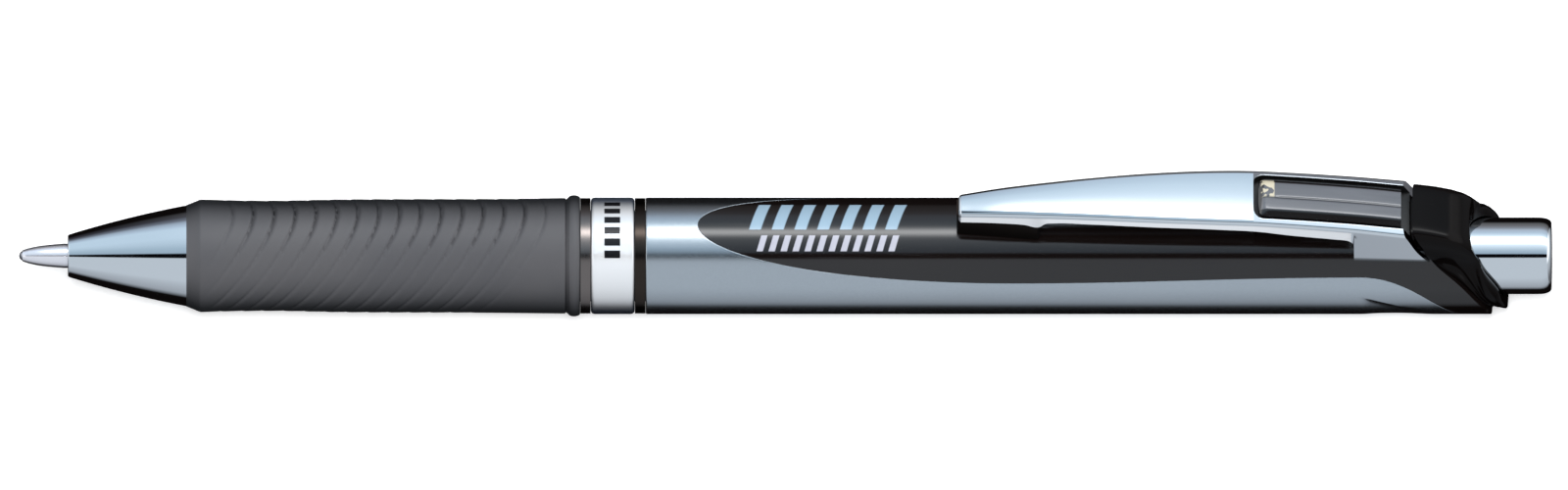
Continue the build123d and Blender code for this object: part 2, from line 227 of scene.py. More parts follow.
def bump(height, distance, strength=1.0):
    """The surface direction for a height from 0 to 1 that is distance metres tall."""
    inputs = {"Height": height, "Distance": distance, "Strength": strength}
    return height.node("ShaderNodeBump", {}, inputs)


def facing_away(where, low, high):
    """0 where the surface faces the eye, rising to 1 where it turns away towards an edge."""
    return where.node("ShaderNodeLayerWeight", {}, {"Blend": 0.5}, 1).step(low, high)


def pen_axes(where):
    """Wires of the station, the distance across (both in mm) and the angle round the pen."""
    split = {0: where}
    x, y, z = [where.node("ShaderNodeSeparateXYZ", {}, split, n) for n in range(3)]
    return (x - TIP_X) * 1000, y * 1000, where.maths("ARCTAN2", y * -1.0, z - AXIS_Z)


def between(wire, low, high, soft):
    """1 from low to high and 0 outside, with edges soft wide."""
    half = soft / 2
    return wire.step(low - half, low + half) * (1 - wire.step(high - half, high + half))


def dashes(along, pitch, fill):
    """A row of equal dashes: 1 on the dashes, which take up the fill share of each pitch."""
    soft = 0.03
    from_middle = along.maths("ABSOLUTE", along.maths("FRACT", along / pitch) - 0.5)
    return 1 - from_middle.step(fill / 2 - soft, fill / 2 + soft)


def settle(piece, body, slot, material, *nodes):
    """Gives a new piece its material, the body it rides on and the nodes it stands for. The slot argument
    is not used.
    """
    piece.data.materials.append(material)
    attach(piece, body)
    if nodes:
        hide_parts(*nodes)
    return piece


def point_steel():
    """Turned stainless steel: rings of fine tool marks, and a base colour painted darker where the surface
    turns away from the eye, a painted shade.
    """
    material, shader, where = finish("point_steel", Metallic=0.78)
    marks = grain(where, 900, 1, (40, 1, 1))
    # Painted shade: the steel's colour darkens towards edges that turn away from the eye.
    edge = facing_away(where, 0.30, 0.80)
    drive(
        shader,
        Base_Color=edge.mix((0.97, 0.95, 1.0, 1), (0.10, 0.10, 0.13, 1)),
        Roughness=0.08 + marks * 0.10,
        Normal=bump(marks, 2e-6, 0.4),
    )
    return material


def hard_metal():
    """Ground carbide, slightly uneven in its polish."""
    material, shader, where = finish("carbide", Base_Color=(0.45, 0.45, 0.48, 1), Metallic=1.0)
    drive(shader, Roughness=0.10 + grain(where, 9000) * 0.15)
    return material


bullet_s = np.linspace(LIP_S, BULLET_END, 36)
bullet_line = np.stack([bullet_s, flow(bullet_s, BULLET)], -1)
shank = [(SHANK_END, SHANK_R), (SHANK_END, INK_WAY_R), (1.2, BALL_WAY_R)]
socket_turn = np.linspace(SOCKET_FLOOR, SOCKET_LIP, 16)
socket = np.stack([BALL_R + SOCKET_R * np.cos(socket_turn), SOCKET_R * np.sin(socket_turn)], -1)
point = turned("writing_point", np.vstack([bullet_line, shank, socket]), 96)
settle(point, "refill", "point_steel", point_steel(), "refill_tip")

pole = np.linspace(0, np.pi, 33)
ball_outline = np.stack([BALL_R - BALL_R * np.cos(pole), BALL_R * np.sin(pole)], -1)
ball = turned("carbide_ball", ball_outline, 48)
settle(ball, "ball", "hard_metal", hard_metal(), "writing_ball")

# ------------------------------------------------------------------ nose cone
# The screwed-on front end: moulded plastic plated with bright chrome. Its side swells a little
# between the narrow mouth and the grip, and inside it steps down to the return spring's seat.
CONE_FRONT, CONE_REAR, CONE_LIP_R = 4.6, 15.78, 0.13
CONE_MOUTH_R, CONE_FRONT_R, CONE_REAR_R, CONE_BULGE = 1.24, 1.98, 4.76, 0.17
THREAD_FRONT, THREAD_R, SEAT_S, SEAT_OUTER_R, SEAT_INNER_R = 12.4, 3.72, 10.4, 2.85, 2.1


def chrome_plate():
    """Bright plating: near-mirror, with faint wipe marks that dull it and a barely uneven skin."""
    material, shader, where = finish("chrome_plate", Base_Color=(0.90, 0.93, 0.96, 1), Metallic=1.0)
    wipes = grain(where, 260, 4, (1, 3, 3)).step(0.45, 0.75)
    specks = grain(where, 3500, 2).step(0.68, 0.80)
    drive(
        shader,
        Roughness=0.035 + wipes * 0.05 + specks * 0.10,
        Normal=bump(grain(where, 180, 1), 6e-6, 0.5),
    )
    return material


CHROME = chrome_plate()
share = np.linspace(0.012, 1, 60)
cone_side = CONE_FRONT_R + (CONE_REAR_R - CONE_FRONT_R) * share
cone_side = cone_side + 4 * CONE_BULGE * share * (1 - share)
cone_outer = np.stack([CONE_FRONT + (CONE_REAR - CONE_FRONT) * share, cone_side], -1)
lip_turn = np.linspace(np.pi, np.pi / 2, 8)
lip_s = CONE_FRONT + CONE_LIP_R * (1 + np.cos(lip_turn))
lip_r = CONE_FRONT_R + 0.01 - CONE_LIP_R * (1 - np.sin(lip_turn))
cone_inner = [(CONE_REAR, THREAD_R + 0.03), (THREAD_FRONT, THREAD_R), (THREAD_FRONT, SEAT_OUTER_R)]
cone_inner += [(SEAT_S, SEAT_OUTER_R), (SEAT_S, SEAT_INNER_R), (6.2, 1.3)]
cone_inner += [(CONE_FRONT + 0.08, CONE_MOUTH_R), (CONE_FRONT, CONE_MOUTH_R + 0.08)]
cone = turned("chrome_cone", np.vstack([np.stack([lip_s, lip_r], -1), cone_outer, cone_inner]))
settle(cone, "barrel", "plated_chrome", CHROME, "nose_cone")

# ------------------------------------------------------------------ rubber grip
# A soft sleeve moulded over the core: a bevelled front lip, a slight waist, slanting ridges that
# lap like shingles and fade out at both ends, a fine groove, and a round bead behind it.
GRIP_FRONT, GRIP_LIP, GRIP_GROOVE, GRIP_REAR = 15.78, 17.1, 51.5, 52.92
LIP_R, LIP_BEVEL = 5.31, 0.40
GRIP_SHAPE = [(GRIP_LIP, LIP_R), (20.0, 5.25), (24.4, 5.22), (30.0, 5.33), (37.0, 5.37), (44.0, 5.38)]
GRIP_SHAPE += [(51.5, 5.45)]
BEAD_R, BEAD_BASE_R, BEAD_FRONT, GRIP_BORE_R = 5.72, 5.46, 51.78, 4.4
RIDGE_PITCH, RIDGE_START, RIDGE_DEPTH = 1.97, 18.2, 0.18
RIDGE_SLANT, RIDGE_TURN = 3.9, np.radians(22)
GRIP_GROOVE_DEPTH, GRIP_GROOVE_HALF = 0.13, 0.07


def smooth(value, low, high):
    """0 below low, 1 above high, and 3t^2 - 2t^3 between."""
    t = np.clip((value - low) / (high - low), 0, 1)
    return t * t * (3 - 2 * t)


def grip_radius(station, angle):
    """The lip's bevel, then the waisted body cut by ridges, then the groove and the bead. A ridge
    runs round at station + slant * cos(angle + turn), and from it the surface rises steeply and
    then sinks slowly to the next. The ridges are shallower down the sides and below."""
    bevel = LIP_R - (GRIP_LIP - station) * LIP_BEVEL
    body = np.where(station < GRIP_LIP, bevel, flow(station, GRIP_SHAPE))
    along = station - RIDGE_SLANT * np.cos(angle + RIDGE_TURN)
    phase = ((along - RIDGE_START) / RIDGE_PITCH) % 1.0
    behind, ahead = np.exp(-((phase / 0.12) ** 2)), np.exp(-(((1 - phase) / 0.06) ** 2))
    cut = (behind + ahead + 0.6 * phase) * (0.35 + 0.65 * smooth(np.cos(angle), 0.5, 0.95))
    fade = smooth(along, 13.6, 18.6) * (1 - smooth(along, 44.0, 47.5))
    fade = fade * smooth(station, 17.2, 19.4) * (1 - smooth(station, 49.6, 51.2))
    from_groove = (station - GRIP_GROOVE - 0.1) / GRIP_GROOVE_HALF
    groove = GRIP_GROOVE_DEPTH * np.exp(-(from_groove**2))
    bead_share = np.clip((station - BEAD_FRONT) / (GRIP_REAR - BEAD_FRONT), 0, 1)
    bead = BEAD_BASE_R + (BEAD_R - BEAD_BASE_R) * np.sqrt(np.sin(np.pi * bead_share))
    return np.where(bead_share > 0, bead, body - RIDGE_DEPTH * cut * fade - groove)


def grip_rubber():
    """Dark grey elastomer: a fine moulded grain, paler where hands have polished it, and painted
    near-black towards its edges, a painted shade where the surface turns away from the eye."""
    material, shader, where = finish("grip_rubber", Specular_IOR_Level=0.9)
    handled = grain(where, 120, 3).step(0.3, 0.7)
    texture = grain(where, 14000, 2)
    # Painted shade: the rubber's colour goes near-black where the surface turns away from the eye.
    edge = facing_away(where, 0.12, 0.72)
    face = handled.mix((0.074, 0.073, 0.079, 1), (0.087, 0.085, 0.090, 1))
    drive(
        shader,
        Base_Color=edge.mix(face, (0.004, 0.004, 0.005, 1)),
        Roughness=0.50 + texture * 0.14,
        Normal=bump(texture, 9e-6, 0.6),
    )
    return material


def grip_sleeve():
    """Rows along the sleeve, close together where it has ridges, bead and groove, then its bore."""
    lip = np.linspace(GRIP_FRONT, GRIP_LIP, 9)
    ridged = np.linspace(GRIP_LIP, GRIP_GROOVE - 0.15, 400)[1:]
    end = np.linspace(GRIP_GROOVE - 0.15, GRIP_REAR, 44)[1:]
    station = np.concatenate([lip, ridged, end])[:, None]
    angle = np.linspace(0, 2 * np.pi, 180, endpoint=False)[None, :]
    radius = grip_radius(station, angle)
    bore_s = np.array([[GRIP_REAR], [GRIP_FRONT]])
    station = np.vstack([station, bore_s])
    radius = np.vstack([radius, np.full((2, angle.size), GRIP_BORE_R)])
    points = place(station, -radius * np.sin(angle), radius * np.cos(angle))
    return skin("ridged_grip", points, crease=50)


settle(grip_sleeve(), "barrel", "grip_rubber", grip_rubber(), "grip_sleeve")

# ------------------------------------------------------------------ rings round the joint
# Between grip and barrel sit three plated rings: a bright, satin-finished centre ring with rounded
# edges, and a narrow dark chrome ring on each side, a little below it.
FRONT_TRIM, CENTRE_BAND, REAR_TRIM = (52.93, 53.90), (53.92, 58.06), (58.08, 59.08)
RING_BORE_R, TRIM_R, TRIM_EDGE, BAND_EDGE = 4.45, BARREL_R - 0.05, 0.05, 0.42
# The printed dashes: their stations, then as angles how far they reach and how they repeat.
MARK_FRONT, MARK_REAR, MARK_TURN, MARK_PITCH, MARK_FILL = 55.2, 56.7, 0.64, 0.2133, 0.62


def ring(name, span, radius, rounding):
    """A ring over a span of stations, whose two outer edges are rounded."""
    corners = [
        (span[0], RING_BORE_R, 0),
        (span[0], radius, rounding),
        (span[1], radius, rounding),
        (span[1], RING_BORE_R, 0),
    ]
    return turned(name, rounded(corners, 9), 192)


def dark_chrome(name, tone):
    """Smoked plating with a fine polish that runs round the ring."""
    material, shader, where = finish(name, Base_Color=tone, Metallic=1.0)
    lines = grain(where, 2200, 2, (6, 0.4, 0.4))
    drive(shader, Roughness=0.16 + lines * 0.12, Normal=bump(lines, 2e-6, 0.3))
    return material


def satin_chrome(name, marked):
    """Plating over a satin base: soft reflections, a base colour painted dark towards edges that turn
    away from the eye (a painted shade), a faint grain round the ring, and a short printed row of plain
    black dashes where it is marked."""
    material, shader, where = finish(name, Metallic=0.5)
    lines = grain(where, 1800, 3, (8, 0.5, 0.5))
    # Painted shade: the colour darkens towards edges that turn away from the eye.
    tone = facing_away(where, 0.28, 0.72).mix((0.97, 0.98, 1.0, 1), (0.10, 0.12, 0.16, 1))
    if marked:
        station, _, angle = pen_axes(where)
        row = between(station, MARK_FRONT, MARK_REAR, 0.06) * between(angle, -MARK_TURN, MARK_TURN, 0.02)
        tone = (row * dashes(angle, MARK_PITCH, MARK_FILL)).mix(tone, (0.01, 0.01, 0.012, 1))
    drive(shader, Base_Color=tone, Roughness=0.17 + lines * 0.10, Normal=bump(lines, 2e-6, 0.4))
    return material


grey_chrome = dark_chrome("dark_chrome", (0.25, 0.215, 0.20, 1))
front_trim = ring("front_trim", FRONT_TRIM, TRIM_R, TRIM_EDGE)
settle(front_trim, "barrel", "dark_chrome", grey_chrome, "front_trim_ring")
black_chrome = dark_chrome("black_chrome", (0.055, 0.043, 0.036, 1))
rear_trim = ring("rear_trim", REAR_TRIM, TRIM_R, TRIM_EDGE)
settle(rear_trim, "barrel", "dark_chrome", black_chrome, "rear_trim_ring")
band = ring("centre_band", CENTRE_BAND, BARREL_R, BAND_EDGE)
settle(band, "barrel", "plated_chrome", satin_chrome("printed_satin", True), "centre_ring")

# ------------------------------------------------------------------ silver barrel and dark inlay
# The rear barrel is a moulded tube in metallic silver lacquer. A polished black inlay is let into
# it flush: a long teardrop under the clip that sweeps round to a collar at the leaning rear rim.
BARREL_FRONT, INLAY_TIP, INLAY_FULL, SWEEP_START = 59.1, 64.0, 94.0, 126.3
INLAY_ANGLE, WAIST_ANGLE, SWEEP_RATE, SWEEP_POWER = 60.5, 54.0, 0.43, 2.2
WALL, EDGE, COLLAR_EDGE = 0.7, 0.035, 0.16
# The leaning rear rim (height, station), and where the rows begin to lean towards it.
RIM = [(-5.5, 139.0), (-3.6, 138.9), (-1.9, 138.6), (0.2, 137.6), (2.8, 135.5), (4.5, 133.1)]
RIM += [(8.2, 130.8), (10, 129.9)]
LEAN_START = 122.0
FLUTE_FRONT, FLUTE_ANGLE, FLUTE_SWING, FLUTE_RUN = 126.2, np.radians(75), np.radians(60), 12.0
FLUTE_DEPTH, FLUTE_WALL, FLUTE_WIDTH = 0.42, 0.45, 2.4
# The two printed rows: stations along the leaning dashes, and angles round the barrel.
BLUE_ROW = {"front": 68.48, "rear": 83.46, "top": -0.50, "bottom": 0.09, "pitch": 2.14}
WHITE_ROW = {"front": 70.06, "rear": 83.62, "top": 0.20, "bottom": 0.48, "pitch": 1.13}


def inlay_angle(station):
    """Half the inlay's width as an angle: a quarter ellipse in front, then a slight taper along a
    cosine, and behind the waist a sweep that grows with the 2.2th power of the distance."""
    ahead = (INLAY_FULL - station) / (INLAY_FULL - INLAY_TIP)
    front = INLAY_ANGLE * np.sqrt(np.clip(1 - ahead**2, 0, 1))
    share = np.clip((station - INLAY_FULL) / (SWEEP_START - INLAY_FULL), 0, 1)
    taper = (1 - np.cos(np.pi * share)) / 2
    sweep = SWEEP_RATE * np.clip(station - SWEEP_START, 0, None) ** SWEEP_POWER
    behind = INLAY_ANGLE + (WAIST_ANGLE - INLAY_ANGLE) * taper + sweep
    return np.radians(np.minimum(np.where(station < INLAY_FULL, front, behind), 180))


def column_angles(station, middle, shares):
    """Angles across a strip of the barrel that is centred on middle (0 for the inlay, pi for the
    silver) and ends at the inlay's edge. shares run from -1 to 1."""
    return middle + shares * np.abs(middle - inlay_angle(station))


def leaning_rows(count, middle, shares):
    """Stations of the rows between LEAN_START and the leaning rim. Each point lies a fixed share
    of the way to the rim's station at its own height, found by halving."""
    past_rim = 141.0
    share = np.linspace(0, 1, count)[:, None]
    low = np.full((count, shares.size), LEAN_START)
    high = np.full_like(low, past_rim)
    for _ in range(40):
        mid = (low + high) / 2
        height = BARREL_R * np.cos(column_angles(mid, middle, shares))
        beyond = mid - LEAN_START > share * (flow(height, RIM) - LEAN_START)
        low, high = np.where(beyond, low, mid), np.where(beyond, mid, high)
    return (low + high) / 2


def flute(station, angle):
    """Depth of the crescent cut into the silver below each leg of the clip: a crease that starts
    at the side and swings under the barrel. Below the crease the wall falls away steeply, and
    rises again slowly, both as exponentials."""
    start = np.clip(station - FLUTE_FRONT, 0, None)
    path = FLUTE_ANGLE + FLUTE_SWING * (1 - np.exp(-start / FLUTE_RUN))
    below = np.clip((np.minimum(angle, 2 * np.pi - angle) - path) * BARREL_R, 0, None)
    section = (1 - np.exp(-below / FLUTE_WALL)) * np.exp(-below / FLUTE_WIDTH)
    return FLUTE_DEPTH * section * smooth(start, 0.1, 2.2) * (1 - smooth(start, 3.2, 7.5))


def barrel_strip(name, middle, columns):
    """A strip of the barrel's wall as a closed shell. Its long edges are rounded off, and its
    section runs across the outside, back across the inside, and closes at both ends."""
    across = np.linspace(-1, 1, columns)
    front_s = INLAY_TIP + (LEAN_START - INLAY_TIP) * np.linspace(0.0, 1, 50)[:, None] ** 2
    station = np.vstack([front_s + 0 * across, leaning_rows(72, middle, across)[1:]])
    half_mm = BARREL_R * np.abs(middle - inlay_angle(station))
    reach = np.minimum(EDGE, half_mm * 0.4) / np.maximum(half_mm, 1e-9)
    inside = across * (1 - reach)
    angle = middle + inside * half_mm / BARREL_R
    turn = np.linspace(0, np.pi / 2, 5)[None, :]
    depth = np.minimum(EDGE, BARREL_R * inlay_angle(station[:, :1]) * 0.5)

    def edge(side):
        """The rounded edge on one side: along the surface by a sine, down by one less a cosine."""
        last = slice(-1, None) if side > 0 else slice(0, 1)
        bend = side * reach[:, last] * half_mm[:, last] / BARREL_R * np.sin(turn)
        return angle[:, last] + bend, BARREL_R - depth * (1 - np.cos(turn)), station[:, last] + 0 * turn

    left, right = edge(-1), edge(1)
    outer_a = np.hstack([left[0][:, ::-1], angle[:, 1:-1], right[0]])
    middle_r = BARREL_R - flute(station[:, 1:-1], angle[:, 1:-1])
    outer_r = np.hstack([left[1][:, ::-1], middle_r, right[1]])
    outer_s = np.hstack([left[2][:, ::-1], station[:, 1:-1], right[2]])
    section_a = np.hstack([outer_a, outer_a[:, ::-1]])
    section_r = np.hstack([outer_r, np.full_like(outer_r, BARREL_R - WALL)])
    section_s = np.hstack([outer_s, outer_s[:, ::-1]])
    mid_r = np.full_like(section_r[:1], BARREL_R - WALL / 2)
    section_a = np.vstack([section_a[:1], section_a, section_a[-1:]])
    section_r = np.vstack([mid_r, section_r, mid_r])
    section_s = np.vstack([section_s[:1], section_s, section_s[-1:]])
    across_mm, height = -section_r * np.sin(section_a), section_r * np.cos(section_a)
    return skin(name, place(section_s, across_mm, height), ring=True, closed=False)


def silver_lacquer():
    """Metallic lacquer: a satin silver ground with tiny flakes that glint, under a clear coat."""
    material, shader, where = finish("silver_lacquer", Metallic=1.0, Coat_Roughness=0.08, Coat_IOR=1.4)
    flakes = where.node("ShaderNodeTexVoronoi", {"feature": "F1"}, {"Vector": where, "Scale": 16000}, 1)
    glint = flakes.node("ShaderNodeSeparateColor", {}, {"Color": flakes})
    clouds = grain(where, 90, 3)
    drive(
        shader,
        Base_Color=(glint * 0.6 + clouds * 0.4).mix((0.56, 0.605, 0.645, 1), (0.64, 0.685, 0.725, 1)),
        Roughness=0.21 + glint * 0.05,
        Coat_Weight=0.25 + clouds * 0.1,
        Normal=bump(glint, 4e-7, 0.15),
    )
    return material


def slanted_row(where, row):
    """1 on the dashes of a printed row that leans back as it goes round the barrel."""
    lean, fill = 1.6, 0.52
    station, _, angle = pen_axes(where)
    slant = station + angle * lean
    area = between(slant, row["front"], row["rear"], 0.08) * between(angle, row["top"], row["bottom"], 0.02)
    return area * dashes(slant, row["pitch"], fill)


def black_gloss(name, shine, depth, printed):
    """Polished black moulding with a brown cast, a faint flow pattern and fine hairlines. Where it
    is printed, it carries two rows of plain slanted dashes, blue over white."""
    material, shader, where = finish(name, Specular_IOR_Level=shine)
    flow_marks = grain(where, 60, 3, (1, 4, 4))
    hairlines = grain(where, 1500, 2, (0.08, 3, 3)).step(0.62, 0.72)
    low, high = np.array([0.80, 0.50, 0.47]) * depth, np.array([1.2, 0.8, 0.7]) * depth
    tone = flow_marks.mix((*low, 1), (*high, 1))
    if printed:
        tone = slanted_row(where, BLUE_ROW).mix(tone, (0.36, 0.52, 0.66, 1))
        tone = slanted_row(where, WHITE_ROW).mix(tone, (0.52, 0.53, 0.62, 1))
    drive(
        shader,
        Base_Color=tone,
        Roughness=0.11 + hairlines * 0.10,
        Normal=bump(flow_marks, 8e-6, 0.4),
    )
    return material


SILVER = silver_lacquer()
collar_corners = [
    (BARREL_FRONT, BARREL_R - WALL, 0),
    (BARREL_FRONT, BARREL_R, COLLAR_EDGE),
    (INLAY_TIP, BARREL_R, 0),
    (INLAY_TIP, BARREL_R - WALL, 0),
]
silver_collar = turned("silver_collar", rounded(collar_corners), 240)
settle(silver_collar, "barrel", "silver_lacquer", SILVER)
silver_barrel = barrel_strip("silver_barrel", np.pi, 301)
settle(silver_barrel, "barrel", "silver_lacquer", SILVER, "rear_barrel")
inlay = barrel_strip("teardrop_inlay", 0.0, 121)
settle(inlay, "barrel", "black_gloss", black_gloss("inlay_black", 0.82, 0.0055, True), "barrel_inlay")

# ------------------------------------------------------------------ rear cap
# A black moulding plugged into the barrel's end. A hump carries on the line of the clip and falls
# away to a collar with two flutes, which ends in a leaning mouth round the button.

# The mouth's inner and outer edges (height, station) and the hump's crown line (station, height).
MOUTH = [(-3.8, 140.25), (-1.4, 139.9), (0.5, 139.35), (2.6, 137.8), (3.8, 136.6)]
LIP = [(-4.9, 140.5), (-2.6, 140.15), (-1.1, 139.2), (0.3, 138.5), (1.6, 138.1), (2.6, 137.9), (4.3, 137.7)]
LIP += [(5.0, 137.3), (6.0, 136.8), (8.0, 136.0)]
HUMP_TOP = [(131.0, 8.55), (132.7, 8.25), (134.0, 7.87), (135.3, 7.34), (136.6, 6.43)]
HUMP_TOP += [(137.4, 5.4), (137.9, 4.6)]
HUMP_HALF, HUMP_FOOT, HUMP_POWER, UNION_POWER = 3.25, 3.0, 10, 14
CAP_FRONT, COLLAR_R, CAP_BORE_R, CAP_FLUTE, LIP_ROLL = 127.5, 4.80, 3.76, 0.10, 0.18
PLUG_DROP, PLUG_HALF, PLUG_R = 1.3, 2.5, BARREL_R - WALL - 0.25


def cap_radius(station, angle, share, drop, half, collar):
    """Distance from the axis: the smooth union of the collar's circle and the hump, a box with
    rounded corners (an oval of HUMP_POWER) whose top follows the hump's line, lowered by drop."""
    top = np.maximum(flow(station, HUMP_TOP) - drop, HUMP_FOOT)
    up = np.cos(angle)
    tall = np.abs(up / np.where(up > 0, top, HUMP_FOOT))
    hump = (np.abs(np.sin(angle) / half) ** HUMP_POWER + tall**HUMP_POWER) ** (-1 / HUMP_POWER)
    flutes = CAP_FLUTE * (np.cos(4 * np.pi * share) - 0.6 + smooth(share, 0.8, 1.0))
    circle = collar + flutes
    return (circle**UNION_POWER + np.minimum(hump, 20) ** UNION_POWER) ** (1 / UNION_POWER)


def rear_cap():
    """Rows from inside the barrel to the rim, from the rim to the lip, over the lip into the
    bore, and back along the bore. The rim's and lip's stations depend on the height that the
    radius there gives, so height is stepped towards it until both agree."""
    angle = np.linspace(0, 2 * np.pi, 220, endpoint=False)[None, :]
    share = np.linspace(0, 1, 56)[:, None]
    height = np.full((share.size, angle.size), 4.0) * np.cos(angle)
    for _ in range(12):
        start = flow(height, RIM) + 0.12 + 0.65 * smooth(height, 4.6, 6.2)
        station = start + share * (flow(height, LIP) - start)
        radius = cap_radius(station, angle, share, 0.0, HUMP_HALF, COLLAR_R)
        height = 0.5 * height + 0.5 * radius * np.cos(angle)
    hidden_r = cap_radius(station[:1], angle, 0 * share[:1], PLUG_DROP, PLUG_HALF, PLUG_R)
    hidden_s = np.vstack([np.full_like(hidden_r, CAP_FRONT), station[:1]])
    turn = np.linspace(0, np.pi / 2, 7)[1:, None]
    mouth = flow(CAP_BORE_R * np.cos(angle), MOUTH)
    lip_r = CAP_BORE_R + (radius[-1:] - CAP_BORE_R) * np.cos(turn)
    lip_s = mouth + (station[-1:] - mouth) * (1 - np.sin(turn)) + LIP_ROLL * np.sin(2 * turn)
    bore_r = np.full((2, angle.size), CAP_BORE_R)
    bore_s = np.vstack([mouth - 2.5, np.full_like(mouth, CAP_FRONT)])
    station = np.vstack([hidden_s, station, lip_s, bore_s])
    radius = np.vstack([hidden_r, hidden_r, radius, lip_r, bore_r])
    points = place(station, -radius * np.sin(angle), radius * np.cos(angle))
    return skin("black_cap", points, crease=38)


cap_black = black_gloss("cap_black", 0.13, 0.0025, False)
settle(rear_cap(), "barrel", "black_gloss", cap_black, "rear_cap")

# ------------------------------------------------------------------ clip
# One chrome-plated pressing: a crowned, tapered channel with flared sides. It rises from the
# front end, is deepest over its foot, and behind a slot its sides come down to the barrel.

# The height of the crease between top and sides, the half width and the sides' depth, by station.
CREASE_LINE = [(88.6, 9.2), (92.5, 9.75), (96.9, 10.15), (100.9, 10.42), (106.9, 10.63)]
CREASE_LINE += [(112.9, 10.65), (116.9, 10.5), (119.6, 10.22), (123.6, 9.72), (127.6, 9.12)]
CREASE_LINE += [(130.6, 8.55), (133.5, 7.95)]
HALF_WIDTH = [(88.6, 1.2), (92.5, 1.6), (96.9, 1.98), (100.9, 2.3), (106.9, 2.72), (112.9, 2.98)]
HALF_WIDTH += [(119.6, 3.06), (127.6, 3.14), (133.5, 3.24)]
SIDE_DEPTH = [(88.6, 1.0), (92.5, 1.08), (95.0, 1.25), (96.2, 1.5), (96.75, 1.05), (97.6, 0.92)]
SIDE_DEPTH += [(100.9, 0.9), (106.9, 0.94), (112.9, 0.95), (116.9, 1.05), (119.6, 1.25), (124.2, 1.35)]
CLIP_FRONT, NOSE_R, CROWN, SHEET, CREASE_R, SIDE_FLARE = 88.6, 0.3, 0.15, 0.45, 0.42, 0.34
SLOT_FRONT, SLOT_HALF, SLOT_CORNER, SLOT_DEPTH = 116.42, 2.40, 1.0, 1.1
RIM_FALL = np.radians(16.5)  # how far the rims beside the slot lean outwards
LEG_FRONT, LEG_CORNER, LEG_LEAN_START, LEG_FOOT = 125.9, 0.9, 126.4, 4.55
BEND_REAR, BEND_FRONT, BEND_HEIGHT = 115.5, 104.0, 9.0


def clip_top(station, across):
    """Height of the clip's top: the crease line, plus a crown that falls off with the square of
    the distance from the middle."""
    width = flow(station, HALF_WIDTH)
    return flow(station, CREASE_LINE) + CROWN * (1 - np.minimum(np.abs(across) / width, 1) ** 2)


def side_bottom(station):
    """Height of the sides' lower edge: a shallow flange, then a rounded corner where the sides
    turn down to the barrel."""
    shallow = flow(station, CREASE_LINE) - flow(station, SIDE_DEPTH)
    corner_start = LEG_FRONT - LEG_CORNER
    over = np.clip((station - corner_start) / LEG_CORNER, 0, 1)
    corner = shallow - LEG_CORNER * (1 - np.sqrt(1 - over**2))
    ahead = np.where(station > corner_start, corner, shallow)
    return np.where(station > LEG_FRONT + 0.01, LEG_FOOT, ahead)


def clip_section(station, slot_half, slot_depth, nose):
    """Half of the clip's section from the middle of its top, over the crease and down the side,
    round its lower edge and back up inside to the middle. Beside the slot the top is a straight
    rim that leans outwards. Returns distances across and heights."""
    width = flow(station, HALF_WIDTH) - nose
    crease = flow(station, CREASE_LINE) - nose
    bottom = side_bottom(station) + nose * 0.3
    flare = np.minimum(0.25 * (crease - bottom), SIDE_FLARE)
    slotted = slot_depth > 0
    fall = RIM_FALL if slotted else 0.0
    tray_u = slot_half * np.array([0, 0.25, 0.5, 0.75, 0.97, 1.0])
    tray_v = clip_top(station, tray_u) - nose - slot_depth
    edge_u = slot_half + np.array([0, 0.02])
    top_start, top_end = slot_half + 0.05, width - CREASE_R + CREASE_R * np.sin(fall)
    top_u = top_start + (top_end - top_start) * np.linspace(0, 1, 12)
    if slotted:
        top_v = crease - CREASE_R * (1 - np.cos(fall)) + np.tan(fall) * (top_end - top_u)
        edge_v = top_v[0] - np.array([0.05, 0.012])
    else:
        top_v, edge_v = clip_top(station, top_u) - nose, clip_top(station, edge_u) - nose
    bend = np.linspace(fall, np.pi / 2, 8)[1:]
    bend_u = width - CREASE_R + CREASE_R * np.sin(bend)
    bend_v = crease - CREASE_R + CREASE_R * np.cos(bend)
    down = np.linspace(0, 1, 9)[1:]
    down_u = width + flare * down
    down_v = (crease - CREASE_R) * (1 - down) + (bottom + 0.1) * down
    under_u = width + flare - np.array([0.03, 0.10, SHEET - 0.10, SHEET - 0.02])
    under_v = bottom + np.array([0.03, 0.0, 0.0, 0.06])
    inside = np.linspace(0, 1, 6)
    wall_low, ceiling = bottom + 0.12, crease - SHEET - CREASE_R * 0.5 - slot_depth
    ceiling = np.maximum(ceiling, bottom + 0.2)
    wall_u, wall_v = width + flare * (1 - inside) - SHEET, wall_low + (ceiling - wall_low) * inside
    ceiling_u = (width - SHEET) * (1 - inside[1:])
    ceiling_v = np.full_like(ceiling_u, ceiling)
    across = [tray_u, edge_u, top_u, bend_u, down_u, under_u, wall_u, ceiling_u]
    height = [tray_v, edge_v, top_v, bend_v, down_v, under_v, wall_v, ceiling_v]
    return np.concatenate(across), np.concatenate(height)


